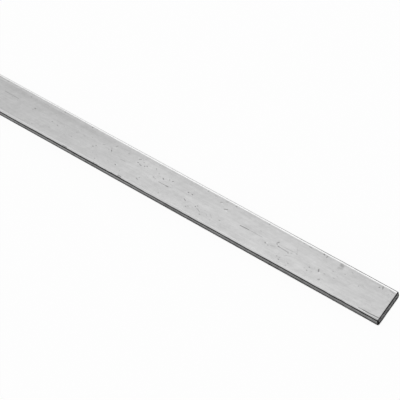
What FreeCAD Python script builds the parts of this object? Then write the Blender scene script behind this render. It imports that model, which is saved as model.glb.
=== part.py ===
"""A length of rolled metal flat bar: one solid, lying on its broad face.

The section is a flat with rounded corners and very slightly bulged narrow edges, as rolling leaves them.
It is the same all along, and both ends are sawn square and lightly deburred.

The bar runs along X, its width is along Y and its thickness along Z.
The origin is under its middle, on the level that it lies on. Sizes are in millimetres.
"""

import FreeCAD, Part
import math
import os

from FreeCAD import Vector

# Stock size
BAR_LENGTH = 1000.0
BAR_WIDTH = 20.0
BAR_THICKNESS = 6.0

# Rolled section: the radius of its four corners, and how far each narrow edge stands out at mid-height
CORNER_RADIUS = 1.5
EDGE_BULGE = 0.12

# Cut ends: the small bevel that deburring leaves round each end
END_BREAK = 0.25

# A corner's rounding takes at most this share of the thickness, so that each narrow edge keeps a face of its own
LARGEST_ROUNDING_SHARE = 0.45


def section_outline(x):
    """The rolled section as a closed wire at distance x along the bar: flats, corner arcs and bulged edges."""
    half_width = BAR_WIDTH / 2
    half_thickness = BAR_THICKNESS / 2
    radius = min(CORNER_RADIUS, LARGEST_ROUNDING_SHARE * BAR_THICKNESS)

    # The bulged edge is an arc through the outer point at mid-height and the two sharp corners set in by the bulge.
    edge_radius = (half_thickness**2 + EDGE_BULGE**2) / (2 * EDGE_BULGE)
    edge_centre_y = half_width - edge_radius

    # Each corner arc touches its flat and, from inside, the bulged edge.
    corner_rise = half_thickness - radius
    corner_y = edge_centre_y + math.sqrt((edge_radius - radius) ** 2 - corner_rise**2)
    touch_angle = math.atan2(corner_rise, corner_y - edge_centre_y)

    def point(y, height_from_middle):
        return Vector(x, y, half_thickness + height_from_middle)

    def on_corner(side, level, angle):
        """A point of one corner's arc, where an angle of 0 faces straight out and a right angle faces the flat."""
        y = corner_y + radius * math.cos(angle)
        height = corner_rise + radius * math.sin(angle)
        return point(side * y, level * height)

    def corner_arc(side, level):
        middle_angle = (touch_angle + math.pi / 2) / 2
        return Part.Arc(
            on_corner(side, level, touch_angle),
            on_corner(side, level, middle_angle),
            on_corner(side, level, math.pi / 2),
        )

    def edge_arc(side):
        return Part.Arc(
            on_corner(side, -1, touch_angle),
            point(side * half_width, 0),
            on_corner(side, 1, touch_angle),
        )

    def flat(level):
        return Part.LineSegment(
            on_corner(-1, level, math.pi / 2),
            on_corner(1, level, math.pi / 2),
        )

    right, left, top, bottom = 1, -1, 1, -1
    curves = [
        edge_arc(right),
        corner_arc(right, top),
        flat(top),
        corner_arc(left, top),
        edge_arc(left),
        corner_arc(left, bottom),
        flat(bottom),
        corner_arc(right, bottom),
    ]
    return Part.Wire(Part.sortEdges([curve.toShape() for curve in curves])[0])


def break_ends(bar):
    """Bevels every edge that lies in one of the two cut ends."""

    def in_cut_end(edge):
        box = edge.BoundBox
        return box.XLength < END_BREAK and abs(box.Center.x) > BAR_LENGTH / 2 - END_BREAK

    return bar.makeChamfer(END_BREAK, [edge for edge in bar.Edges if in_cut_end(edge)])


def flat_bar():
    """The whole bar: the section drawn out to the stock length, with its cut ends broken."""
    section = Part.Face(section_outline(-BAR_LENGTH / 2))
    return break_ends(section.extrude(Vector(BAR_LENGTH, 0, 0)))


def main():
    os.makedirs("parts", exist_ok=True)
    bar = flat_bar()
    print("flat_bar valid:", bar.isValid(), "volume mm3:", round(bar.Volume, 1), "faces:", len(bar.Faces))
    bar.exportStep("parts/flat_bar.step")


main()
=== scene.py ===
"""Looks for a length of rolled flat bar: its worn surface, painted highlights and painted shade, and sawn
ends, the floor, the light and the camera.

The bar lies along X on its broad face. +X is the sawn end that the camera looks at, and -Y is the near side.
Lengths are in metres, apart from the bar's marks and its material, where they are in millimetres.
"""

import math
import random
from collections import namedtuple

import bmesh
import bpy
from mathutils import Matrix, Vector, noise


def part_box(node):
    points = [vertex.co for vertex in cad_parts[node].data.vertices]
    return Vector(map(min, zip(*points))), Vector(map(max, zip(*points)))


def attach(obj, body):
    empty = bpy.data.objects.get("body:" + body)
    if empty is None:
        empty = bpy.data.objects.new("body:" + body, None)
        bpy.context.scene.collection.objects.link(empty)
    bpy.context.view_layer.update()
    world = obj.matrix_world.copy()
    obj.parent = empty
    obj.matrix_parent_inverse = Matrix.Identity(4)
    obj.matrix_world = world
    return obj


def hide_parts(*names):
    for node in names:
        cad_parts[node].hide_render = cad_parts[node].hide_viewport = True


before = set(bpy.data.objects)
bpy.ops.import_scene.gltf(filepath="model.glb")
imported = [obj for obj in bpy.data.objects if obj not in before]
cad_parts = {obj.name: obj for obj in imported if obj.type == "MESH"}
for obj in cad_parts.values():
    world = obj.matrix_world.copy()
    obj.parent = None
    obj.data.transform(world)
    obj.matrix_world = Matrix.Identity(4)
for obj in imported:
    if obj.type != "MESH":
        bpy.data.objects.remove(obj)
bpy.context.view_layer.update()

MM = 0.001

# The bar's own box, and the details of its section and ends
LOW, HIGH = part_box("flat_bar")
HALF_LENGTH = (HIGH.x - LOW.x) / 2
HALF_WIDTH = (HIGH.y - LOW.y) / 2
HALF_THICKNESS = (HIGH.z - LOW.z) / 2
MIDDLE_Z = LOW.z + HALF_THICKNESS
CORNER_RADIUS = 1.5 * MM
EDGE_BULGE = 0.12 * MM
END_BREAK = 0.25 * MM

# The section's arcs, worked out from the sizes above
EDGE_RADIUS = (HALF_THICKNESS**2 + EDGE_BULGE**2) / (2 * EDGE_BULGE)
EDGE_CENTRE_Y = HALF_WIDTH - EDGE_RADIUS
CORNER_Z = HALF_THICKNESS - CORNER_RADIUS
CORNER_Y = EDGE_CENTRE_Y + math.sqrt((EDGE_RADIUS - CORNER_RADIUS) ** 2 - CORNER_Z**2)
TOUCH_ANGLE = math.atan2(CORNER_Z, CORNER_Y - EDGE_CENTRE_Y)

# How finely the skin is cut up, round the section and along the bar
FLAT_STEPS = 18
CORNER_STEPS = 10
BULGE_STEPS = 8
BEVEL_STEPS = 4
END_RINGS = 16
LONG_STEP = 3.0 * MM
NICK_STEP = 0.45 * MM

# Places along the bar are rounded to so many digits, and points this close to each other count as one
PLACE_DIGITS = 6
WELD_DISTANCE = 1e-6
COLLAPSED_DISTANCE = 1e-7

# Rolling leaves the surface a little uneven. All unevenness goes inwards, so the bar stays inside its box.
WAVE_DEPTH = 0.03 * MM
WAVE_LENGTH = 14 * MM
WAVE_WIDTH = 4 * MM

# The saw's lines run across the end, and the deburring round it is uneven
SAW_DEPTH = 0.05 * MM
SAW_PITCH = 0.9 * MM
SAW_TILT = math.radians(6)
SAW_WANDER = 2.0
SAW_WANDER_SIZE = (3.6 * MM, 1.8 * MM)
BREAK_VARIATION = 0.35
BREAK_PATCH = 1.6 * MM
BREAK_SEED = 5.0

# Small knocks along the four long corners, deepest where a corner leans this far off the flats and reaching
# so much further round it, both in degrees
Nick = namedtuple("Nick", "x side level length depth")
NICK_COUNT = 26
NICK_SEED = 11
NICK_SPREAD = 0.96 * HALF_LENGTH
NICK_LENGTHS = (1.2 * MM, 3.5 * MM)
NICK_DEPTHS = (0.05 * MM, 0.18 * MM)
NICK_LEAN = 45.0
NICK_REACH = 38.0
NEAR, FAR, TOP, BOTTOM = -1, 1, 1, -1
SEEN_NICKS = (
    Nick(HALF_LENGTH - 166.0 * MM, NEAR, TOP, 3.2 * MM, 0.40 * MM),
    Nick(HALF_LENGTH - 22.2 * MM, NEAR, TOP, 2.4 * MM, 0.25 * MM),
)

# Marks on the top face, in millimetres: the two ends of each, by distance from the pictured cut end and from
# the near side, how wide and deep it is, and how much darker than the face. A glint, a painted highlight, is
# brighter instead, and some marks beside the near corner are painted shade.
Mark = namedtuple("Mark", "start end width depth shade")
PIT_DEPTH = 0.05
SCRATCH_DEPTH = 0.03
PIT_STRETCH = 0.5
GLINT_STRETCH = 0.2

# The skin's faces are halved this often round a mark, within this many millimetres of it, where they face up
# at least this much
MARK_HALVINGS = 3
MARK_MARGIN = 0.3
MARK_FACING = 0.7


def stroke(start, end, width=0.7, strength=0.7):
    """A short dent."""
    return Mark(start, end, width, PIT_DEPTH * strength, strength)


def pit(from_end, from_near, size=0.8, strength=0.7):
    """A dent half as long again as it is wide."""
    half = PIT_STRETCH * size / 2
    return stroke((from_end + half, from_near), (from_end - half, from_near), size, strength)


def scratch(start, end, width=0.5, strength=0.8):
    """A longer and shallower line."""
    return Mark(start, end, width, SCRATCH_DEPTH * strength, strength)


def glint(from_end, from_near, size=0.8, strength=0.6):
    """A painted highlight on the rim of a dent, a little longer than it is wide."""
    half = GLINT_STRETCH / 2
    return Mark((from_end + half, from_near), (from_end - half, from_near), size, 0.0, -strength)


SEEN_MARKS = (
    # furthest from the cut end
    scratch((254.8, 12.1), (244.9, 12.0), 0.5, 0.5),
    pit(257.2, 18.0, 0.9, 0.4),
    pit(239.4, 16.6, 0.8, 0.4),
    pit(233.5, 10.3, 0.7, 0.3),
    pit(232.7, 11.6, 0.9, 0.8),
    pit(230.7, 1.8, 0.7, 0.35),
    pit(228.6, 3.0, 0.9, 0.3),
    pit(219.2, 9.8, 0.8, 0.6),
    pit(218.6, 6.0, 0.8, 0.35),
    pit(215.2, 9.2, 0.8, 0.6),
    pit(216.5, 18.1, 0.9, 0.5),
    pit(208.4, 6.5, 0.8, 0.25),
    pit(204.0, 7.5, 0.9, 0.3),
    pit(203.0, 11.1, 0.8, 0.3),
    pit(197.7, 11.5, 0.8, 0.35),
    pit(193.5, 12.9, 0.8, 0.3),
    pit(197.2, 18.1, 0.9, 0.8),
    pit(189.9, 8.6, 0.8, 0.8),
    pit(188.6, 9.8, 0.7, 0.7),
    pit(187.5, 5.3, 0.8, 0.3),
    pit(184.4, 3.0, 0.8, 0.5),
    stroke((185.6, 12.3), (184.6, 12.9), 0.7, 0.4),
    pit(181.1, 11.4, 0.7, 0.35),
    pit(180.0, 12.6, 0.6, 0.5),
    stroke((179.5, 11.9), (179.0, 11.2), 0.8, 0.9),
    stroke((178.5, 14.8), (177.8, 15.6), 0.7, 0.6),
    pit(172.2, 5.6, 0.9, 0.8),
    glint(171.5, 5.9),
    scratch((171.8, 9.8), (168.7, 9.9), 0.6, 0.4),
    pit(169.7, 14.9, 0.8, 0.4),
    pit(167.9, 3.6, 0.8, 0.3),
    # a loose group, from the far side to the near side
    stroke((162.7, 14.9), (161.7, 15.4), 0.8, 0.7),
    pit(162.1, 12.9, 0.8, 0.8),
    stroke((160.9, 12.5), (159.4, 12.2), 0.7, 0.7),
    pit(159.5, 16.7, 0.8, 0.3),
    pit(159.1, 14.5, 0.9, 0.4),
    pit(157.6, 12.8, 0.8, 0.7),
    pit(156.4, 13.5, 0.8, 0.7),
    stroke((157.3, 4.6), (156.2, 4.3), 0.7, 0.6),
    pit(155.9, 5.7, 0.8, 0.6),
    stroke((151.2, 15.1), (150.6, 14.3), 0.7, 0.5),
    pit(149.4, 9.9, 0.9, 0.8),
    pit(147.9, 9.5, 0.8, 0.5),
    pit(147.9, 13.2, 1.0, 0.4),
    stroke((144.5, 11.9), (143.8, 11.5), 0.8, 1.0),
    stroke((141.0, 13.2), (140.5, 12.5), 0.7, 0.5),
    stroke((139.0, 12.9), (138.4, 13.1), 0.8, 0.9),
    scratch((145.2, 9.0), (140.5, 8.95), 0.5, 0.7),
    scratch((140.5, 8.95), (139.1, 9.05), 0.7, 1.0),
    scratch((139.1, 9.1), (136.9, 9.4), 0.5, 0.3),
    # half way between the cut end and the picture's edge
    pit(127.4, 11.8, 0.8, 1.0),
    pit(124.9, 11.8, 0.8, 1.0),
    stroke((127.2, 7.5), (125.9, 6.9), 0.7, 0.8),
    pit(123.7, 4.2, 0.7, 0.7),
    glint(123.3, 4.4, 0.6),
    pit(122.8, 4.8, 0.7, 0.6),
    pit(119.2, 6.7, 0.8, 0.8),
    pit(118.4, 17.8, 0.8, 0.5),
    pit(118.4, 7.6, 0.8, 0.6),
    scratch((117.9, 6.2), (115.5, 5.3), 0.6, 0.5),
    pit(114.6, 4.0, 0.8, 0.6),
    pit(113.4, 17.5, 0.8, 0.4),
    stroke((109.2, 15.6), (108.2, 16.0), 0.7, 0.6),
    glint(107.9, 15.4),
    stroke((106.4, 17.4), (105.6, 17.8), 0.8, 0.5),
    stroke((105.0, 13.2), (103.2, 14.0), 0.65, 0.95),
    glint(103.3, 13.0, 1.0),
    pit(100.2, 17.9, 0.8, 0.8),
    scratch((109.7, 6.9), (107.6, 5.5), 0.6, 0.2),
    pit(103.2, 6.4, 0.9, 0.6),
    # two long scratches in line, with dents between and beside them
    scratch((92.1, 9.6), (86.6, 9.8), 0.6, 1.0),
    scratch((86.6, 9.8), (77.9, 9.8), 0.5, 0.4),
    pit(80.6, 12.5, 0.9, 0.3),
    pit(79.1, 18.0, 0.8, 0.6),
    stroke((74.9, 8.0), (74.6, 7.8), 0.8, 1.0),
    glint(73.9, 8.4, 0.9),
    pit(72.8, 7.4, 0.7, 0.6),
    scratch((71.4, 7.8), (68.9, 8.9), 0.6, 0.3),
    stroke((69.0, 11.1), (68.6, 11.9), 0.8, 1.0),
    pit(68.9, 10.4, 0.7, 0.8),
    glint(68.3, 10.8, 0.9),
    stroke((67.8, 9.7), (67.1, 9.6), 0.8, 1.0),
    scratch((67.1, 9.6), (61.5, 9.35), 0.5, 0.7),
    scratch((65.2, 10.8), (59.2, 10.95), 0.5, 0.3),
    scratch((62.0, 6.75), (59.1, 8.1), 0.6, 0.25),
    stroke((61.2, 9.5), (61.0, 8.8), 0.7, 0.8),
    stroke((58.2, 13.6), (56.9, 11.7), 0.6, 0.2),
    pit(59.4, 9.7, 0.7, 0.5),
    pit(61.0, 7.4, 0.8, 0.4),
    pit(56.8, 10.8, 0.9, 0.4),
    pit(63.5, 4.6, 0.8, 0.5),
    pit(63.2, 3.4, 0.8, 0.9),
    pit(57.7, 4.0, 0.8, 0.5),
    pit(58.1, 2.4, 0.8, 0.4),
    # nearer the cut end
    pit(56.9, 18.0, 0.8, 0.5),
    stroke((53.6, 17.9), (51.8, 17.8), 0.7, 0.4),
    pit(48.9, 6.3, 0.8, 0.3),
    pit(46.8, 7.8, 0.8, 0.7),
    pit(47.0, 5.6, 0.8, 0.8),
    pit(46.8, 3.8, 0.8, 0.3),
    pit(44.4, 6.2, 0.7, 0.3),
    pit(44.2, 17.9, 0.9, 1.0),
    stroke((42.2, 17.9), (42.3, 17.0), 0.8, 0.8),
    stroke((41.9, 9.3), (41.3, 8.1), 0.9, 1.0),
    glint(40.6, 7.7),
    stroke((39.2, 4.3), (38.3, 4.8), 0.8, 0.7),
    pit(38.0, 8.7, 0.9, 0.4),
    pit(34.9, 12.1, 0.9, 0.4),
    pit(32.4, 9.0, 0.9, 0.4),
    pit(31.3, 10.7, 0.8, 0.25),
    pit(25.8, 16.6, 1.0, 0.3),
    stroke((9.6, 16.5), (9.2, 16.8), 0.8, 0.9),
    stroke((7.9, 17.9), (7.5, 16.6), 0.9, 0.8),
    stroke((4.1, 18.2), (0.9, 17.3), 0.9, 0.4),
    # a soft smudge beside the far strip
    Mark((33.1, 17.3), (32.3, 17.0), 3.2, 0.0, 0.6),
    Mark((33.6, 15.2), (31.8, 15.9), 2.2, 0.0, 0.3),
    # painted shade in the two knocks on the near corner, and painted shade widening the near dark line round
    # the second
    Mark((166.8, 1.0), (165.2, 1.0), 1.2, 0.0, 1.0),
    Mark((22.5, 0.8), (21.9, 0.8), 0.8, 0.0, 0.8),
    Mark((27.0, 0.7), (20.5, 0.7), 0.7, 0.0, 0.35),
    # places where painted shade widens the near corner's painted dark line
    Mark((205.0, 0.7), (202.2, 0.7), 0.8, 0.0, 0.8),
    Mark((183.9, 0.7), (183.1, 0.7), 0.7, 0.0, 0.6),
    Mark((181.8, 0.5), (181.0, 0.5), 0.7, 0.0, 0.8),
    Mark((175.7, 0.6), (174.9, 0.6), 0.7, 0.0, 0.5),
    Mark((171.5, 0.6), (170.7, 0.6), 0.7, 0.0, 0.4),
    # the crease that starts beside the near corner and runs out at the cut end, pressed in and darkened with
    # painted shade, a painted highlight beside it, and painted shade widening the near corner's dark line
    # beside it
    Mark((12.3, 1.6), (9.5, 1.7), 0.6, 0.03, 0.8),
    Mark((9.5, 1.65), (4.5, 1.65), 0.8, 0.07, 1.0),
    Mark((4.5, 1.7), (0.4, 1.95), 0.9, 0.05, 0.9),
    Mark((11.8, 1.15), (8.0, 1.15), 0.6, 0.0, -0.45),
    Mark((16.0, 0.65), (11.5, 0.65), 0.6, 0.0, 0.25),
    Mark((11.5, 0.65), (3.5, 0.65), 0.7, 0.0, 0.5),
    Mark((3.5, 0.8), (0.5, 0.9), 1.2, 0.0, 0.4),
)

SectionPoint = namedtuple("SectionPoint", "y z out_y out_z")


def section_points():
    """The section as a closed loop, from the bottom flat round by the +Y side, with the outward direction."""

    def right_side():
        """From the lower corner's start, up round the +Y edge, to the upper corner's end."""
        quarter = math.pi / 2
        for i in range(CORNER_STEPS):
            yield CORNER_Y, -CORNER_Z, CORNER_RADIUS, -quarter + (quarter - TOUCH_ANGLE) * i / CORNER_STEPS
        for i in range(BULGE_STEPS):
            yield EDGE_CENTRE_Y, 0.0, EDGE_RADIUS, TOUCH_ANGLE * (2 * i / BULGE_STEPS - 1)
        for i in range(CORNER_STEPS):
            yield CORNER_Y, CORNER_Z, CORNER_RADIUS, TOUCH_ANGLE + (quarter - TOUCH_ANGLE) * i / CORNER_STEPS

    half_loop = []
    for centre_y, centre_z, radius, angle in right_side():
        c, s = math.cos(angle), math.sin(angle)
        half_loop.append(SectionPoint(centre_y + radius * c, centre_z + radius * s, c, s))
    for i in range(FLAT_STEPS):
        half_loop.append(SectionPoint(CORNER_Y * (1 - 2 * i / FLAT_STEPS), HALF_THICKNESS, 0.0, 1.0))
    return half_loop + [SectionPoint(*(-value for value in point)) for point in half_loop]


def all_nicks():
    """The knocks that the camera sees, and others at random places on the rest of the bar's corners."""
    rng = random.Random(NICK_SEED)
    made = list(SEEN_NICKS)
    for _ in range(NICK_COUNT):
        x = rng.uniform(-NICK_SPREAD, NICK_SPREAD)
        side, level = rng.choice((NEAR, FAR)), rng.choice((TOP, BOTTOM))
        made.append(Nick(x, side, level, rng.uniform(*NICK_LENGTHS), rng.uniform(*NICK_DEPTHS)))
    return made


def nick_depth(nick, x, point):
    """How far a knock pushes in a point of the section at distance x along the bar."""
    if point.out_y * nick.side <= 0 or point.out_z * nick.level <= 0:
        return 0.0
    along = 2 * (x - nick.x) / nick.length
    lean = math.degrees(math.atan2(abs(point.out_y), abs(point.out_z)))
    around = (lean - NICK_LEAN) / NICK_REACH
    if abs(along) >= 1 or abs(around) >= 1:
        return 0.0
    return nick.depth * (1 - along**2) ** 2 * (1 - around**2) ** 2


def clamped(value, limit=1.0):
    return max(-limit, min(limit, value))


def unevenness(x, y, z):
    """How far the rolled surface lies inside its true shape: long shallow waves along the bar."""
    wave = noise.noise(Vector((x / WAVE_LENGTH, y / WAVE_WIDTH, z / WAVE_WIDTH)))
    return WAVE_DEPTH * (0.5 + 0.5 * clamped(wave))


def saw_depth(side, y, z):
    """How far the sawn end lies inside its plane: shallow lines from the blade, which wander a little."""
    across = z * math.cos(SAW_TILT) + y * math.sin(SAW_TILT)
    wander = noise.noise(Vector((y / SAW_WANDER_SIZE[0], z / SAW_WANDER_SIZE[1], side)))
    return SAW_DEPTH * (0.5 + 0.5 * math.sin(2 * math.pi * across / SAW_PITCH + SAW_WANDER * wander))


def end_break(side, point):
    """The size of the deburring bevel here."""
    patch = noise.noise(Vector((point.y / BREAK_PATCH, point.z / BREAK_PATCH, BREAK_SEED * side)))
    return END_BREAK * (1 + BREAK_VARIATION * clamped(patch))


def stations(nicks):
    """Places along the bar where the skin has a ring of points, closer together across each knock."""
    reach = HALF_LENGTH - 2 * END_BREAK
    count = math.ceil(2 * reach / LONG_STEP)
    places = {round(-reach + 2 * reach * i / count, PLACE_DIGITS) for i in range(count + 1)}
    for nick in nicks:
        steps = math.ceil(nick.length / 2 / NICK_STEP)
        places.update(round(nick.x + NICK_STEP * i, PLACE_DIGITS) for i in range(-steps, steps + 1))
    return sorted(places)


def pushed_in(x, point, depth):
    """A point of the section at distance x along the bar, moved inwards by a depth."""
    return x, point.y - point.out_y * depth, MIDDLE_Z + point.z - point.out_z * depth


def body_ring(loop, x, nicks):
    """A ring of points round the bar, with its unevenness and its knocks."""
    close = [nick for nick in nicks if abs(x - nick.x) < nick.length / 2]
    ring = []
    for point in loop:
        depth = unevenness(x, point.y, point.z) + sum(nick_depth(nick, x, point) for nick in close)
        ring.append(pushed_in(x, point, depth))
    return ring


def bevel_ring(loop, side, angle):
    """A ring on the rounded bevel of an end, from its start on the long faces, at angle 0, to its rim."""
    ring = []
    for point in loop:
        reach = end_break(side, point)
        depth = unevenness(side * HALF_LENGTH, point.y, point.z) + reach * (1 - math.cos(angle))
        ring.append(pushed_in(side * (HALF_LENGTH - reach * (1 - math.sin(angle))), point, depth))
    return ring


def end_ring(rim, side, share):
    """An end's rim shrunk to a share of its distance from the line half way up, with the saw's lines."""
    core_reach = HALF_WIDTH - HALF_THICKNESS
    ring = []
    for x, y, z in rim:
        core_y = clamped(y, core_reach)
        inner_y, inner_z = core_y + (y - core_y) * share, (z - MIDDLE_Z) * share
        ring.append((x - side * saw_depth(side, inner_y, inner_z), inner_y, MIDDLE_Z + inner_z))
    return ring


def quads_between(first, second, size):
    """Quads between two rings of points, given by the number of each ring's first point."""
    for i in range(size):
        j = (i + 1) % size
        yield first + i, first + j, second + j, second + i


def skin_points_and_faces():
    """The bar's visible surface as points and quads: rings along it, rounded end bevels and ringed ends."""
    loop = section_points()
    size = len(loop)
    nicks = all_nicks()
    angles = [math.pi / 2 * i / BEVEL_STEPS for i in range(BEVEL_STEPS + 1)]
    rings = [bevel_ring(loop, -1, angle) for angle in reversed(angles)]
    rings += [body_ring(loop, x, nicks) for x in stations(nicks)]
    rings += [bevel_ring(loop, 1, angle) for angle in angles]
    faces = []
    for n in range(len(rings) - 1):
        faces += quads_between(n * size, (n + 1) * size, size)

    for side, rim_number in ((-1, 0), (1, len(rings) - 1)):
        rim = rings[rim_number]
        previous = rim_number * size
        for n in range(1, END_RINGS + 1):
            current = len(rings) * size
            rings.append(end_ring(rim, side, 1 - n / END_RINGS))
            quads = quads_between(previous, current, size)
            faces += quads if side > 0 else (quad[::-1] for quad in quads)
            previous = current
    return [point for ring in rings for point in ring], faces


def weld_and_orient(work):
    """Welds the points that met half way up each end, drops what collapsed there and turns faces outwards."""
    bmesh.ops.remove_doubles(work, verts=work.verts, dist=WELD_DISTANCE)
    bmesh.ops.dissolve_degenerate(work, edges=work.edges, dist=COLLAPSED_DISTANCE)
    bmesh.ops.recalc_face_normals(work, faces=work.faces)


def mark_line(mark):
    """A mark's two ends in the bar's frame, in metres and without height, with the lower x first."""
    ends = [
        Vector((HALF_LENGTH - from_end * MM, from_near * MM - HALF_WIDTH))
        for from_end, from_near in (mark.start, mark.end)
    ]
    return sorted(ends, key=lambda place: place.x)


def distance_to_line(place, start, end):
    """How far a place lies from a straight line between two others, all without height."""
    line = end - start
    share = max(0.0, min(1.0, (place - start).dot(line) / line.length_squared))
    return (place - start - line * share).length


def touched_by_mark(face, lines):
    """Whether a mark reaches this upward face, going by the face's own box."""
    if face.normal.z < MARK_FACING:
        return False
    xs = [v.co.x for v in face.verts]
    ys = [v.co.y for v in face.verts]
    low_x, high_x, low_y, high_y = min(xs), max(xs), min(ys), max(ys)
    for mark, start, end in lines:
        reach = (mark.width / 2 + MARK_MARGIN) * MM
        beside_x = high_x < start.x - reach or low_x > end.x + reach
        beside_y = high_y < min(start.y, end.y) - reach or low_y > max(start.y, end.y) + reach
        if not beside_x and not beside_y:
            return True
    return False


def refine_round_marks(work, lines):
    """Halves the edges of the faces round each mark a few times, always in the same order."""
    for _ in range(MARK_HALVINGS):
        work.normal_update()
        touched = [face for face in work.faces if touched_by_mark(face, lines)]
        chosen = dict.fromkeys(edge for face in touched for edge in face.edges)
        bmesh.ops.subdivide_edges(work, edges=list(chosen), cuts=1, use_grid_fill=True)


def press_marks(work, lines):
    """Presses the marks into the top face, and keeps their shade in the attribute "damage"."""
    marks_and_painted_light = work.verts.layers.float.new("marks_and_painted_light")
    work.normal_update()
    for vertex in work.verts:
        if vertex.normal.z < MARK_FACING:
            continue
        place = Vector((vertex.co.x, vertex.co.y))
        depth, shade = 0.0, 0.0
        for mark, start, end in lines:
            radius = mark.width * MM / 2
            if not start.x - radius < place.x < end.x + radius:
                continue
            share = distance_to_line(place, start, end) / radius
            if share < 1:
                bowl = (1 - share**2) ** 2
                depth = max(depth, mark.depth * MM * bowl)
                shade = max(shade, mark.shade * bowl, key=abs)
        vertex.co.z -= depth
        # The marks' darkening, painted shade among it, and the glints' painted highlights
        vertex[marks_and_painted_light] = shade


def make_skin():
    """The bar's visible surface as one closed and smooth mesh, with its marks pressed in."""
    points, faces = skin_points_and_faces()
    mesh = bpy.data.meshes.new("rolled_flat_bar")
    mesh.from_pydata(points, [], faces)
    work = bmesh.new()
    work.from_mesh(mesh)
    weld_and_orient(work)
    lines = [(mark, *mark_line(mark)) for mark in SEEN_MARKS]
    refine_round_marks(work, lines)
    press_marks(work, lines)
    for face in work.faces:
        face.smooth = True
    work.to_mesh(mesh)
    work.free()
    return mesh


# The part of a random pattern's range that becomes 0 to 1, and the share of a speck's radius at full strength
CLOUD_SPREAD = (0.3, 0.7)
SPECK_CORE = 0.35


class Graph:
    """Adds nodes to a tree and wires them. Any value may be a number, a colour or another node's output."""

    def __init__(self, tree):
        self.tree = tree
        tree.nodes.clear()

    def node(self, kind, **settings):
        made = self.tree.nodes.new(kind)
        for name, value in settings.items():
            setattr(made, name, value)
        return made

    def wire(self, socket, value):
        if isinstance(value, bpy.types.NodeSocket):
            self.tree.links.new(value, socket)
        else:
            socket.default_value = value

    def math(self, operation, a, b=0.0):
        made = self.node("ShaderNodeMath", operation=operation)
        self.wire(made.inputs[0], a)
        self.wire(made.inputs[1], b)
        return made.outputs[0]

    def add(self, a, b):
        return self.math("ADD", a, b)

    def times(self, a, b):
        return self.math("MULTIPLY", a, b)

    def larger(self, a, b):
        return self.math("MAXIMUM", a, b)

    def divided(self, a, b):
        """A vector over another one, part by part."""
        made = self.node("ShaderNodeVectorMath", operation="DIVIDE")
        self.wire(made.inputs[0], a)
        self.wire(made.inputs[1], b)
        return made.outputs[0]

    def scaled(self, a, factor):
        """A vector times a number."""
        made = self.node("ShaderNodeVectorMath", operation="SCALE")
        self.wire(made.inputs[0], a)
        self.wire(made.inputs["Scale"], factor)
        return made.outputs[0]

    def blend(self, share, a, b):
        """A number between a and b."""
        made = self.node("ShaderNodeMix", data_type="FLOAT")
        self.wire(made.inputs["Factor"], share)
        self.wire(made.inputs[2], a)
        self.wire(made.inputs[3], b)
        return made.outputs[0]

    def rise(self, value, start, end):
        """0 up to start, 1 from end on, and a smooth step between them. It falls where end is below start."""
        made = self.node("ShaderNodeMapRange", interpolation_type="SMOOTHSTEP")
        self.wire(made.inputs["Value"], value)
        made.inputs["From Min"].default_value = start
        made.inputs["From Max"].default_value = end
        return made.outputs[0]

    def band(self, value, start, full, full_end, end):
        """0 up to start, 1 from full to full_end and 0 again from end on."""
        return self.times(self.rise(value, start, full), self.rise(value, end, full_end))

    def cloud(self, point, pattern, spread=CLOUD_SPREAD):
        """Smooth random patches of about a pattern's size, with a part of their range made 0 to 1."""
        made = self.node("ShaderNodeTexNoise")
        self.wire(made.inputs["Vector"], self.divided(point, pattern.size))
        made.inputs["Scale"].default_value = 1.0
        made.inputs["Detail"].default_value = pattern.detail
        return self.rise(made.outputs[0], *spread)

    def specks(self, point, kind):
        """Separate spots: a spot's shade in its middle, and 0 between them."""
        made = self.node("ShaderNodeTexVoronoi", feature="F1")
        self.wire(made.inputs["Vector"], self.divided(point, kind.spacing))
        made.inputs["Scale"].default_value = 1.0
        spot = self.rise(made.outputs["Distance"], kind.radius, SPECK_CORE * kind.radius)
        return self.times(spot, kind.shade)

    def turned(self, point, angle):
        """A point turned about z."""
        made = self.node("ShaderNodeVectorRotate", rotation_type="Z_AXIS")
        self.wire(made.inputs["Vector"], point)
        made.inputs["Angle"].default_value = angle
        return made.outputs[0]

    def varied(self, base, swings, *patterns):
        """A base value changed by 0 to 1 patterns, each up and down by its own swing, a share of the base."""
        factor = 1.0
        for pattern, swing in zip(patterns, swings, strict=True):
            change = self.times(self.math("SUBTRACT", pattern, 0.5), 2 * swing)
            factor = self.add(change, factor)
        return self.times(factor, base)


# The metal's random patterns: their size along x, y and z, in millimetres, and how much fine detail they have
Pattern = namedtuple("Pattern", "size detail")
BROAD_STREAKS = Pattern((70.0, 1.1, 1.1), 3.0)
NARROW_STREAKS = Pattern((14.0, 0.28, 0.28), 2.0)
PATCHES = Pattern((17.0, 5.0, 5.0), 4.0)
MOTTLING = Pattern((2.2, 0.8, 0.8), 3.0)
WIPES = Pattern((9.0, 1.6, 4.0), 2.0)
WIPE_TURN = math.radians(-48)
EDGE_DASHES = Pattern((2.6, 0.9, 0.9), 2.0)
LINE_WANDER = Pattern((6.0, 6.0, 6.0), 3.0)
GLOSS_PATCHES = Pattern((11.0, 3.0, 3.0), 3.0)
GRIT = Pattern((0.5, 0.35, 0.35), 3.0)
SAW_BLOTCHES = Pattern((1.5, 1.1, 0.8), 2.0)
SAW_LINES = Pattern((1.0, 5.0, 0.35), 2.0)
END_RIM_WANDER = Pattern((1.6, 1.2, 1.2), 2.0)

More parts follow.
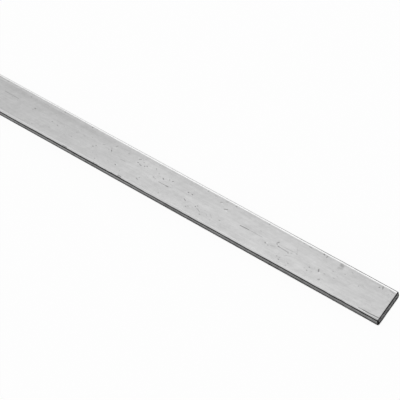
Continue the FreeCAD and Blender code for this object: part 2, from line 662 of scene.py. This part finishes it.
# Small random pits and scratches: how far apart they are along x, y and z, the share of that which one
# covers, and how dark it is. They lie thicker in some places, and elsewhere only the given rest shows.
Specks = namedtuple("Specks", "spacing radius shade")
LARGE_PITS = Specks((5.2, 4.2, 4.2), 0.10, 0.8)
SMALL_PITS = Specks((2.1, 1.7, 1.7), 0.13, 0.5)
LONG_SCRATCHES = Specks((34.0, 1.3, 1.3), 0.10, 0.5)
SLANTING_SCRATCHES = Specks((22.0, 1.5, 9.0), 0.07, 0.3)
SLANT = math.radians(62)
THICK_PLACES = Pattern((26.0, 9.0, 9.0), 1.0)
THICK_SPREAD = (0.38, 0.62)
THIN_REST = 0.25
PIT_SHARE = 0.6
SCRATCH_SHARE = 0.4

# Between these distances from the middle the near side gives way to the far one, and on the ends the lower
# half to the upper one
MIDDLE_STEP = (-1.0, 1.0)

# Painted shade darkens the face from the near to the far side and far from the pictured end, and the face is
# darker beside that end
SHADE_ACROSS_Y = (-8.0, 9.0)
SHADE_ACROSS = (1.02, 0.965)
DARKER_END_X = (452.0, 482.0)
DARKER_END = 0.965
SHADE_AWAY_X = (345.0, 295.0)
SHADE_AWAY = 0.95

# Lines on the face beside the far strip, by distance from the bar's middle line: start, full, full to, end.
# Near the pictured end there is a thin dull one. Away from it there are a broad dull one and outside that a
# thin pale one.
DULL_LINE_Y = (7.2, 7.9, 7.9, 8.3)
DULL_LINE_X = (290.0, 340.0)
DULL_LINE = 0.94
DULL_BAND_Y = (3.5, 6.0, 6.8, 7.4)
DULL_BAND_X = (370.0, 315.0)
DULL_BAND = 0.945
PALE_LINE_Y = (7.1, 7.5, 7.9, 8.2)
PALE_LINE_X = (300.0, 275.0)
PALE_LINE = 1.05

# A paler place on the face, where the darker far part of the bar begins
PALE_PLACE_X = (328.0, 338.0, 352.0, 368.0)
PALE_PLACE_Y = (-3.0, 1.5, 5.5, 7.5)
PALE_PLACE = 1.055

# The bright strip, a painted highlight, starts on the rim of the flat, at this distance from the bar's middle
# line. On the far side it starts a little further in beside the pictured end, further out and more softly
# away from it, and furthest away further in again.
STRIP_START = 8.35
STRIP_RISE = 0.25
SOFT_STRIP_X = (330.0, 250.0)
SOFT_STRIP_START = 8.5
SOFT_STRIP_RISE = 0.9
WIDE_STRIP_X = (285.0, 265.0)
WIDE_STRIP_SHIFT = -0.25
END_STRIP_X = (400.0, 440.0)
END_STRIP_SHIFT = -0.1

# Where the colours change further round a corner: degrees from facing straight out of the flat
SHADE_LEAN = (43.0, 50.0)
EDGE_LEAN = (71.0, 79.0)
LINE_WOBBLE = 5.0

# In degrees, the painted dark line of shade sits this much higher up the far corner, and up the near corner
# beside the pictured end, and lower on the near corner away from that end
FAR_SHADE_SHIFT = 19.0
NEAR_END_SHIFT = 8.0
NEAR_END_X = (400.0, 460.0)
NEAR_AWAY_SHIFT = -5.0
NEAR_AWAY_EDGE_SHIFT = -3.0
NEAR_AWAY_X = (345.0, 295.0)

# Half way along the picture, the near corner's painted dark line climbs a little in one stretch and sinks in
# the next
RAISED_SHIFT = 5.0
RAISED_X = (268.0, 280.0, 332.0, 343.0)
LOWERED_SHIFT = -4.5
LOWERED_X = (340.0, 347.0, 360.0, 368.0)

# The far narrow edge turns bright with a painted highlight between these heights. Its colour starts this many
# degrees further up the corner than the painted dark line's own shift would have it.
FAR_RIM_SHIFT = 12.0
FAR_RIM_Z = (3.7, 4.4)

# On the far corner most of the painted dark line is left out away from the pictured end, and nearly all
# furthest away
FAR_LINE_FADE_X = (482.0, 395.0)
FAR_LINE_FADE_REST = 0.3
FURTHEST_X = (335.0, 290.0)
FURTHEST_LINE_REST = 0.2

# Height over the bottom face below which the narrow edges are dark again with painted shade, how it wanders
# with the line above, and how much lower it is away from the pictured end
LOW_SHADE = (2.68, 2.12)
LOW_SHADE_PER_DEGREE = 0.04
LOW_SHADE_DROP = 0.2

# The narrow edges get darker with painted shade downwards between these heights, and along the bar towards
# the pictured end
EDGE_FALL_Z = (4.3, 2.6)
EDGE_FALL_X = (330.0, 450.0)
EDGE_ALONG = (1.07, 0.9)

# One stretch of the near edge is an even dark grey of painted shade, with hardly any painted dark line
EVEN_X = (361.0, 366.0, 374.0, 378.0)
EVEN_SHADE = 2.4
EVEN_EDGE = 0.76

# The dark rim round a sawn end: how far in it fades, how much that wanders, and how much narrower than that
# it is on the near side and the far side, and at the bottom and the top
END_RIM_REACH = (1.7, 0.8)
END_RIM_SPREAD = -0.8
END_RIM_SIDES = (1.2, 2.0)
END_RIM_LEVELS = (1.2, 1.0)

# What counts as a sawn end, in shares of its bevel: how far along the bevel, and how far in from the flats
END_ALONG = (1.0, 0.3)
END_INSIDE = (0.3, 0.9)

# Greys of the metal: the strips and far rim are painted highlights, the dark line, edges and ends painted
# shade
FACE_GREY = 0.595
NEAR_STRIP_GREY = 0.74
FAR_STRIP_GREY = 0.84
FURTHEST_STRIP_GREY = 0.80
SHADE_GREY = 0.028
EDGE_GREY = 0.33
LOW_EDGE_GREY = 0.26
FAR_RIM_GREY = 0.92
END_GREY = 0.21
END_RIM_GREY = 0.01

# How much each pattern changes a grey or a roughness up and down, in the order in which they are named there
FACE_SWINGS = (0.03, 0.03, 0.025, 0.035, 0.02)
STRIP_SWINGS = (0.04, 0.03)
SHADE_SWINGS = (0.3, 0.2)
EDGE_SWINGS = (0.22, 0.12, 0.12)
END_SWINGS = (0.5, 0.3)
ROUGHNESS_SWINGS = (0.14, 0.10)

# A full mark keeps this share of the metal's grey, and a full glint, a painted highlight, adds this much to
# it
DAMAGED_SHARE = 0.3
GLINT_GAIN = 0.3

# Roughness of the faces, of the narrow edges from one lean to another, and of the sawn ends
FACE_ROUGHNESS = 0.36
EDGE_ROUGHNESS = 0.50
EDGE_ROUGHNESS_LEAN = (45.0, 80.0)
END_ROUGHNESS = 0.55

# How metallic it is, and how much of the plain gain in reflection it has at very low angles
METALLIC = 0.9
GRAZING_SHARE = 0.35

# Depths of the finest relief, in millimetres
PIT_RELIEF = 0.05
SCRATCH_RELIEF = 0.02
STREAK_RELIEF = 0.004
GRIT_RELIEF = 0.004

Place = namedtuple("Place", "point x y z height lean end")


def find_place(g):
    """Where a point of the bar is: its coordinates, how far it leans off the flats, and if it's on an end."""
    coordinates = g.node("ShaderNodeTexCoord").outputs["Object"]
    point = g.scaled(coordinates, 1 / MM)
    split = g.node("ShaderNodeSeparateXYZ")
    g.wire(split.inputs[0], point)
    x, y, z = split.outputs
    height = g.math("SUBTRACT", z, MIDDLE_Z / MM)
    past_flat = g.larger(g.math("SUBTRACT", g.math("ABSOLUTE", y), CORNER_Y / MM), 0.0)
    past_edge = g.larger(g.math("SUBTRACT", g.math("ABSOLUTE", height), CORNER_Z / MM), 0.0)
    lean = g.times(g.math("ARCTAN2", past_flat, past_edge), 180 / math.pi)

    bevel_start, bevel_end = ((HALF_LENGTH - share * END_BREAK) / MM for share in END_ALONG)
    inside_start, inside_end = (share * END_BREAK / MM for share in END_INSIDE)
    under_flat = g.math("SUBTRACT", HALF_THICKNESS / MM, g.math("ABSOLUTE", height))
    at_end = g.rise(g.math("ABSOLUTE", x), bevel_start, bevel_end)
    end = g.times(at_end, g.rise(under_flat, inside_start, inside_end))
    return Place(point, x, y, z, height, lean, end)


def rolled_streaks(g, place):
    """Fine lines along the bar, broad faint ones and narrow short ones."""
    return g.cloud(place.point, BROAD_STREAKS), g.cloud(place.point, NARROW_STREAKS)


def small_damage(g, place):
    """Pits and short scratches at random, thicker in some places than in others."""
    thick = g.cloud(place.point, THICK_PLACES, THICK_SPREAD)
    pits = g.larger(g.specks(place.point, LARGE_PITS), g.specks(place.point, SMALL_PITS))
    pits = g.times(pits, g.blend(thick, THIN_REST, 1.0))
    slanted = g.turned(place.point, SLANT)
    scratches = g.larger(g.specks(place.point, LONG_SCRATCHES), g.specks(slanted, SLANTING_SCRATCHES))
    return pits, scratches


def face_grey(g, place, broad, narrow, patches, fine):
    """The broad faces: streaks, patches, slanting wipes, painted shade across and along, and duller or paler
    places.
    """
    wipes = g.cloud(g.turned(place.point, WIPE_TURN), WIPES)
    face = g.varied(FACE_GREY, FACE_SWINGS, broad, narrow, patches, fine, wipes)
    # Painted shade across the face, and far from the pictured end
    face = g.times(face, g.blend(g.rise(place.y, *SHADE_ACROSS_Y), *SHADE_ACROSS))
    face = g.times(face, g.blend(g.rise(place.x, *SHADE_AWAY_X), 1.0, SHADE_AWAY))
    face = g.times(face, g.blend(g.rise(place.x, *DARKER_END_X), 1.0, DARKER_END))
    for across, along, share in (
        (DULL_LINE_Y, DULL_LINE_X, DULL_LINE),
        (DULL_BAND_Y, DULL_BAND_X, DULL_BAND),
        (PALE_LINE_Y, PALE_LINE_X, PALE_LINE),
    ):
        line = g.times(g.band(place.y, *across), g.rise(place.x, *along))
        face = g.times(face, g.blend(line, 1.0, share))
    pale = g.times(g.band(place.y, *PALE_PLACE_Y), g.band(place.x, *PALE_PLACE_X))
    return g.times(face, g.blend(pale, 1.0, PALE_PLACE))


def strip_share(g, place, far):
    """1 on the bright strips of painted highlight beside the long corners and 0 further in."""
    soft = g.times(far, g.rise(place.x, *SOFT_STRIP_X))
    wider = g.add(
        g.times(g.rise(place.x, *WIDE_STRIP_X), WIDE_STRIP_SHIFT),
        g.times(g.rise(place.x, *END_STRIP_X), END_STRIP_SHIFT),
    )
    start = g.add(g.blend(soft, STRIP_START, SOFT_STRIP_START), g.times(far, wider))
    out = g.math("SUBTRACT", g.math("ABSOLUTE", place.y), start)
    return g.rise(g.math("DIVIDE", out, g.blend(soft, STRIP_RISE, SOFT_STRIP_RISE)), 0.0, 1.0)


def strip_grey(g, far, furthest_part, broad, fine):
    """The bright strips of painted highlight, of which the far one is brighter."""
    far_strip = g.blend(furthest_part, FAR_STRIP_GREY, FURTHEST_STRIP_GREY)
    return g.varied(g.blend(far, NEAR_STRIP_GREY, far_strip), STRIP_SWINGS, broad, fine)


def narrow_edge_grey(g, place, broad, patches, shade_grey, wobble, away, even, far):
    """The narrow edges: painted shade, darker downwards and along the bottom, and a painted highlight on the
    far one's rim.
    """
    dashes = g.cloud(place.point, EDGE_DASHES)
    edge = g.blend(g.rise(place.z, *EDGE_FALL_Z), EDGE_GREY, LOW_EDGE_GREY)
    edge = g.times(edge, g.blend(g.rise(place.x, *EDGE_FALL_X), *EDGE_ALONG))
    edge = g.times(edge, g.blend(even, 1.0, EVEN_EDGE))
    edge = g.varied(edge, EDGE_SWINGS, dashes, broad, patches)
    low = g.add(g.times(wobble, -LOW_SHADE_PER_DEGREE), g.times(away, LOW_SHADE_DROP))
    low = g.rise(g.add(place.z, low), *LOW_SHADE)
    side = g.blend(low, edge, shade_grey)
    # The far edge's bright rim is a painted highlight
    return g.blend(g.times(far, g.rise(place.z, *FAR_RIM_Z)), side, FAR_RIM_GREY)


def end_grey(g, place):
    """The sawn ends: painted shade with blotches and saw lines, and a dark rim along their outline."""
    blotches = g.cloud(place.point, SAW_BLOTCHES)
    lines = g.cloud(place.point, SAW_LINES)
    # The sawn end's dark grey is painted shade
    grey = g.varied(END_GREY, END_SWINGS, blotches, lines)
    from_side = g.math("SUBTRACT", HALF_WIDTH / MM, g.math("ABSOLUTE", place.y))
    from_flat = g.math("SUBTRACT", HALF_THICKNESS / MM, g.math("ABSOLUTE", place.height))
    side_scale = g.blend(g.rise(place.y, *MIDDLE_STEP), *END_RIM_SIDES)
    level_scale = g.blend(g.rise(place.height, *MIDDLE_STEP), *END_RIM_LEVELS)
    inside = g.math("MINIMUM", g.times(from_side, side_scale), g.times(from_flat, level_scale))
    wander = g.times(g.cloud(place.point, END_RIM_WANDER), END_RIM_SPREAD)
    return g.blend(g.rise(g.add(inside, wander), *END_RIM_REACH), grey, END_RIM_GREY)


def shifted_leans(g, place, far, away, wobble):
    """The lean that tells where the narrow edge's colour starts, and the one for the painted dark line above
    it.
    """
    near_shift = g.add(
        g.times(g.rise(place.x, *NEAR_END_X), NEAR_END_SHIFT),
        g.times(away, NEAR_AWAY_SHIFT),
    )
    bends = g.add(
        g.times(g.band(place.x, *RAISED_X), RAISED_SHIFT),
        g.times(g.band(place.x, *LOWERED_X), LOWERED_SHIFT),
    )
    edge_lean = g.add(place.lean, g.add(wobble, g.blend(far, near_shift, FAR_SHADE_SHIFT + FAR_RIM_SHIFT)))
    edge_lean = g.add(edge_lean, g.times(away, NEAR_AWAY_EDGE_SHIFT))
    shade_lean = g.add(place.lean, g.add(wobble, g.blend(far, g.add(near_shift, bends), FAR_SHADE_SHIFT)))
    return edge_lean, shade_lean


def shade_share(g, place, shade_lean, far, furthest_part):
    """1 from the painted dark line on, and less on the far corner, where that line is mostly left out."""
    kept = g.times(g.blend(g.rise(place.x, *FAR_LINE_FADE_X), 1.0, FAR_LINE_FADE_REST), g.blend(furthest_part, 1.0, FURTHEST_LINE_REST))
    return g.times(g.rise(shade_lean, *SHADE_LEAN), g.blend(far, 1.0, kept))


def with_marks_and_painted_light(g, grey, pits, scratches):
    """A grey darker in the pits, scratches and marks, some of them painted shade, and brighter on the
    painted-highlight glints.
    """
    marks = g.node("ShaderNodeAttribute", attribute_name="marks_and_painted_light").outputs["Fac"]
    marks_and_painted_light = g.larger(g.larger(g.times(pits, PIT_SHARE), g.times(scratches, SCRATCH_SHARE)), marks)
    grey = g.times(grey, g.blend(marks_and_painted_light, 1.0, DAMAGED_SHARE))
    glints = g.larger(g.times(marks, -1.0), 0.0)
    return g.add(grey, g.times(glints, GLINT_GAIN))


def bar_colour(g, place, broad, narrow, pits, scratches):
    """The metal's grey: face, painted highlight strip, painted dark line, narrow edge in painted shade, and
    sawn end.
    """
    patches = g.cloud(place.point, PATCHES)
    fine = g.cloud(place.point, MOTTLING)
    far = g.rise(place.y, *MIDDLE_STEP)
    away = g.rise(place.x, *NEAR_AWAY_X)
    furthest_part = g.rise(place.x, *FURTHEST_X)

    face = face_grey(g, place, broad, narrow, patches, fine)
    strip = strip_grey(g, far, furthest_part, broad, fine)
    even = g.times(g.band(place.x, *EVEN_X), g.math("SUBTRACT", 1.0, far))
    # The dark grey of the line round the corners, and low on the narrow edges, is painted shade
    shade_grey = g.varied(SHADE_GREY, SHADE_SWINGS, fine, patches)
    shade_grey = g.times(shade_grey, g.blend(even, 1.0, EVEN_SHADE))
    wander = g.cloud(place.point, LINE_WANDER)
    wobble = g.times(g.math("SUBTRACT", wander, 0.5), LINE_WOBBLE)
    edge_lean, shade_lean = shifted_leans(g, place, far, away, wobble)

    # The bright strips beside the corners are painted highlights
    grey = g.blend(strip_share(g, place, far), face, strip)
    grey = g.blend(shade_share(g, place, shade_lean, far, furthest_part), grey, shade_grey)
    side = narrow_edge_grey(g, place, broad, patches, shade_grey, wobble, away, even, far)
    grey = g.blend(g.rise(edge_lean, *EDGE_LEAN), grey, side)
    grey = with_marks_and_painted_light(g, grey, pits, scratches)
    return g.blend(place.end, grey, end_grey(g, place))


def bar_material():
    """Satin rolled metal with streaks, pits and scratches, painted highlights and shade round its corners,
    rougher ends.
    """
    material = bpy.data.materials.new("rolled_metal")
    material.use_nodes = True
    g = Graph(material.node_tree)
    place = find_place(g)
    broad, narrow = rolled_streaks(g, place)
    pits, scratches = small_damage(g, place)

    shader = g.node("ShaderNodeBsdfPrincipled")
    shader.inputs["Metallic"].default_value = METALLIC
    shader.inputs["Specular Tint"].default_value = (GRAZING_SHARE, GRAZING_SHARE, GRAZING_SHARE, 1)
    colour = bar_colour(g, place, broad, narrow, pits, scratches)
    g.wire(shader.inputs["Base Color"], colour)

    gloss_patches = g.cloud(place.point, GLOSS_PATCHES)
    roughness = g.varied(FACE_ROUGHNESS, ROUGHNESS_SWINGS, gloss_patches, narrow)
    roughness = g.blend(g.rise(place.lean, *EDGE_ROUGHNESS_LEAN), roughness, EDGE_ROUGHNESS)
    roughness = g.blend(place.end, roughness, END_ROUGHNESS)
    g.wire(shader.inputs["Roughness"], roughness)

    grit = g.cloud(place.point, GRIT)
    sunk = g.add(g.times(pits, PIT_RELIEF), g.times(scratches, SCRATCH_RELIEF))
    raised = g.add(g.times(narrow, STREAK_RELIEF), g.times(grit, GRIT_RELIEF))
    bump = g.node("ShaderNodeBump")
    bump.inputs["Strength"].default_value = 1.0
    bump.inputs["Distance"].default_value = MM
    g.wire(bump.inputs["Height"], g.math("SUBTRACT", raised, sunk))
    g.wire(shader.inputs["Normal"], bump.outputs[0])

    out = g.node("ShaderNodeOutputMaterial")
    g.wire(out.inputs["Surface"], shader.outputs[0])
    return material


# The floor and the surroundings: white to the camera and in reflections, and a little less as light
FLOOR_SIZE = 40.0
FLOOR_WHITE_SHARE = 0.96
PAPER_GREY = 0.85
WORLD_SEEN = 1.0
WORLD_AS_LIGHT = 0.85

# Where the bar comes this close to the floor, the floor shows the plain paper with its shadow. The white
# comes back between these two shares of openness, near the pictured end and away from it. The change from the
# one pair to the other lies between these x.
CREVICE_REACH = 0.7 * MM
CREVICE_SAMPLES = 8
CREVICE_OPEN = (0.5, 0.66)
CREVICE_OPEN_AWAY = (0.3, 0.6)
CREVICE_X = (290 * MM, 400 * MM)


def seen_directly(g):
    """1 for rays that show the surroundings to the camera, in gloss or through glass, 0 for other light."""
    rays = g.node("ShaderNodeLightPath")
    seen = g.larger(rays.outputs["Is Camera Ray"], rays.outputs["Is Glossy Ray"])
    return g.larger(seen, rays.outputs["Is Transmission Ray"])


def floor_material():
    """Pale paper that glows white, but not in the thin gap round the bar."""
    material = bpy.data.materials.new("floor_white")
    material.use_nodes = True
    g = Graph(material.node_tree)
    paper = g.node("ShaderNodeBsdfDiffuse")
    paper.inputs["Color"].default_value = (PAPER_GREY, PAPER_GREY, PAPER_GREY, 1)
    white = g.node("ShaderNodeEmission")
    crevice = g.node("ShaderNodeAmbientOcclusion", samples=CREVICE_SAMPLES)
    crevice.inputs["Distance"].default_value = CREVICE_REACH
    mix = g.node("ShaderNodeMixShader")
    coordinates = g.node("ShaderNodeSeparateXYZ")
    g.wire(coordinates.inputs[0], g.node("ShaderNodeTexCoord").outputs["Object"])
    near_end = g.rise(coordinates.outputs[0], *CREVICE_X)
    openness = crevice.outputs["AO"]
    open_sky = g.blend(near_end, g.rise(openness, *CREVICE_OPEN_AWAY), g.rise(openness, *CREVICE_OPEN))
    share = g.times(g.times(seen_directly(g), FLOOR_WHITE_SHARE), open_sky)
    g.wire(mix.inputs[0], share)
    g.wire(mix.inputs[1], paper.outputs[0])
    g.wire(mix.inputs[2], white.outputs[0])
    out = g.node("ShaderNodeOutputMaterial")
    g.wire(out.inputs["Surface"], mix.outputs[0])
    return material


def make_floor():
    """A pale floor that fills the view, white to the camera but for a faint soft shadow."""
    bpy.ops.mesh.primitive_plane_add(size=FLOOR_SIZE)
    floor = bpy.context.object
    floor.name = "floor"
    floor.data.materials.append(floor_material())


def set_world():
    """Plain white surroundings."""
    world = bpy.data.worlds.new("studio")
    bpy.context.scene.world = world
    world.use_nodes = True
    g = Graph(world.node_tree)
    background = g.node("ShaderNodeBackground")
    g.wire(background.inputs["Strength"], g.blend(seen_directly(g), WORLD_AS_LIGHT, WORLD_SEEN))
    out = g.node("ShaderNodeOutputWorld")
    g.wire(out.inputs["Surface"], background.outputs[0])


# The lamps: where they are, how wide and deep they are, how bright they look, with white at 1, and what they
# are turned to
Lamp = namedtuple("Lamp", "name place width depth radiance")
LAMPS = (
    Lamp("overhead", (0.12, 0.4, 1.1), 0.7, 0.6, 0.4),
    Lamp("behind", (-0.25, 1.2, 0.62), 1.4, 0.9, 0.65),
)
LAMP_TARGET = (0.35, 0.0, 0.0)


def add_lamp(lamp):
    """A soft rectangular lamp, turned to the bar."""
    light = bpy.data.lights.new(lamp.name, "AREA")
    light.shape = "RECTANGLE"
    light.size = lamp.width
    light.size_y = lamp.depth
    light.energy = lamp.radiance * math.pi * lamp.width * lamp.depth
    made = bpy.data.objects.new(lamp.name, light)
    bpy.context.scene.collection.objects.link(made)
    made.location = lamp.place
    made.rotation_mode = "QUATERNION"
    made.rotation_quaternion = (Vector(LAMP_TARGET) - Vector(lamp.place)).to_track_quat("-Z", "Y")


# The camera: where it aims on the bar's top face, from which direction, how it is rolled, how far off it is,
# its lens, and the distances between which it sees
AIM = Vector((0.38064, 0.00121, 0.006))
AZIMUTH = math.radians(51.546)
ELEVATION = math.radians(59.018)
ROLL = math.radians(-18.360)
DISTANCE = 1.12571
LENS = 191.63
SENSOR = 36.0
CLIP_START = 0.01
CLIP_END = 100.0


def add_camera():
    """The camera that matches the photo."""
    camera_data = bpy.data.cameras.new("camera")
    camera_data.lens = LENS
    camera_data.sensor_width = SENSOR
    camera_data.clip_start = CLIP_START
    camera_data.clip_end = CLIP_END
    camera = bpy.data.objects.new("camera", camera_data)
    bpy.context.scene.collection.objects.link(camera)
    back = Vector(
        (
            math.sin(AZIMUTH) * math.cos(ELEVATION),
            -math.cos(AZIMUTH) * math.cos(ELEVATION),
            math.sin(ELEVATION),
        )
    )
    level = (-back).to_track_quat("-Z", "Y").to_matrix()
    rolled = level @ Matrix.Rotation(ROLL, 3, "Z")
    camera.matrix_world = Matrix.Translation(AIM + back * DISTANCE) @ rolled.to_4x4()
    bpy.context.scene.camera = camera


bar = bpy.data.objects.new("rolled_flat_bar", make_skin())
bpy.context.scene.collection.objects.link(bar)
bar.data.materials.append(bar_material())
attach(bar, "root")
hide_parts("flat_bar")

make_floor()
set_world()
for lamp in LAMPS:
    add_lamp(lamp)
add_camera()
bpy.context.scene.view_settings.view_transform = "Standard"
